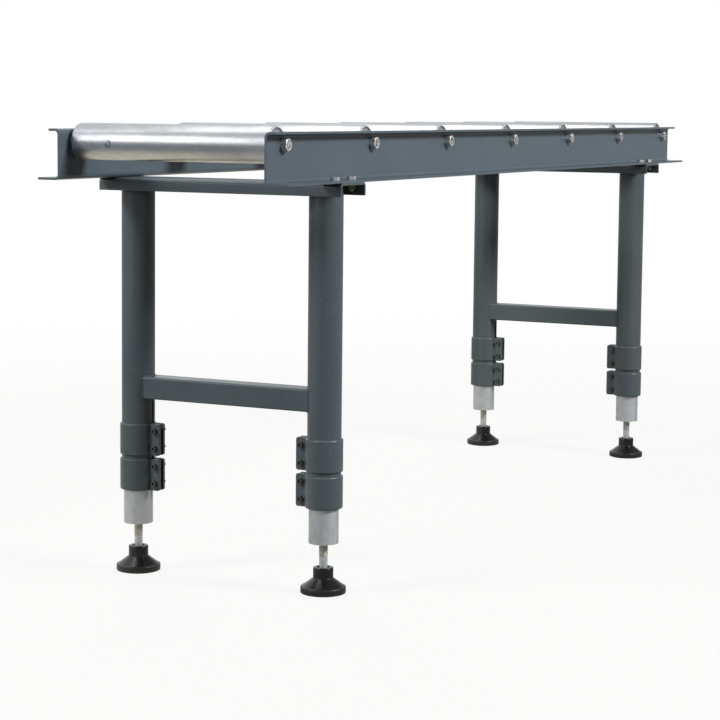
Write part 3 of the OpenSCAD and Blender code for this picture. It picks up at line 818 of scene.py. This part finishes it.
# Weld beads: a rippled half-round along the seam between a leg tube and its stretcher or cross
# member.
weldShape = {
    "radius": 1.4 * mm, "ripple": 0.2 * mm, "ripplePitch": 3.2 * mm, "around": 10,
    "step": 0.8 * mm, "ringRows": 260,
    "endGap": 1 * mm, "cornerGap": 2 * mm,  # between a bead's end and the stretcher's edge
    "sunk": 0.6 * mm,  # bead's middle inside the stretcher's side
    "clear": 0.5 * mm,  # bead's middle off the tube
    "below": 0.8 * mm,  # ring's middle under the cross member
}


def beadPart(path, outward, w):
    # Tube about a path p(t): p + (outward cos b + up sin b) * r, where up is square to the path
    # and to outward, and r is radius + ripple * cos(2 pi t / pitch + sin b), tapered to a point
    # at both ends.
    along = np.gradient(path, axis=0)
    along /= np.linalg.norm(along, axis=1)[:, None]
    up = np.cross(along, outward)
    up /= np.linalg.norm(up, axis=1)[:, None]
    side = np.cross(up, along)
    steps = np.linalg.norm(np.diff(path, axis=0), axis=1)
    t = np.concatenate([[0], np.cumsum(steps)])[:, None]
    b = np.linspace(0, 2 * math.pi, w["around"], endpoint=False)[None, :]
    taper = np.sqrt(np.clip(np.minimum(t, t[-1] - t) / w["radius"], 0, 1))
    wave = np.cos(2 * math.pi * t / w["ripplePitch"] + np.sin(b))
    radius = taper * (w["radius"] + w["ripple"] * wave)
    points = (path[:, None] + side[:, None] * (radius * np.cos(b))[..., None]
              + up[:, None] * (radius * np.sin(b))[..., None])
    return gridPart(points, closeColumns=True)


def makeWelds(w):
    # Paths on a leg of radius R: straight up at the stretcher's sides, arcs (x + R sin a,
    # y -+ R cos a) at its top and bottom, and a whole circle just outside R at the leg's top.
    low, high = boxOf("outer_tube_front_left")
    tube, top = (high - low)[0] / 2, high[2]
    for end in ends:
        low, high = boxOf(f"stretcher_{end}")
        halfBar = (high - low)[0] / 2
        barX = (low + high)[0] / 2
        parts = []
        for side, sign in sides.items():
            legY = middleOf(f"outer_tube_{end}_{side}")[1]
            seamY = legY - sign * (math.sqrt(tube ** 2 - (halfBar - w["endGap"]) ** 2) + w["clear"])
            z = np.arange(low[2] + w["endGap"], high[2] - w["endGap"], w["step"])
            for face in (-1, 1):  # upright beads
                path = np.stack([0 * z + barX + face * (halfBar - w["sunk"]), 0 * z + seamY, z],
                                axis=1)
                outward = np.array([face, -sign, 0]) / math.sqrt(2) + 0 * path
                parts.append(beadPart(path, outward, w))
            reach = math.asin((halfBar - w["cornerGap"]) / tube)
            a = np.arange(-reach, reach, w["step"] / tube)
            for z in (low[2], high[2]):  # beads under and over the stretcher
                path = np.stack([barX + tube * np.sin(a), legY - sign * tube * np.cos(a),
                                 0 * a + z], axis=1)
                outward = np.stack([np.sin(a), -sign * np.cos(a), 0 * a], axis=1)
                parts.append(beadPart(path, outward, w))
            a = np.linspace(0, 2 * math.pi, w["ringRows"])  # ring under the cross member
            ring = tube + w["clear"]
            path = np.stack([barX + ring * np.sin(a), legY + ring * np.cos(a),
                             0 * a + top - w["below"]], axis=1)
            outward = np.stack([np.sin(a), np.cos(a), 0 * a], axis=1)
            parts.append(beadPart(path, outward, w))
        makePiece(f"weld_beads_{end}", parts, "frame", weldPaint)


makeWelds(weldShape)
print("welds made")
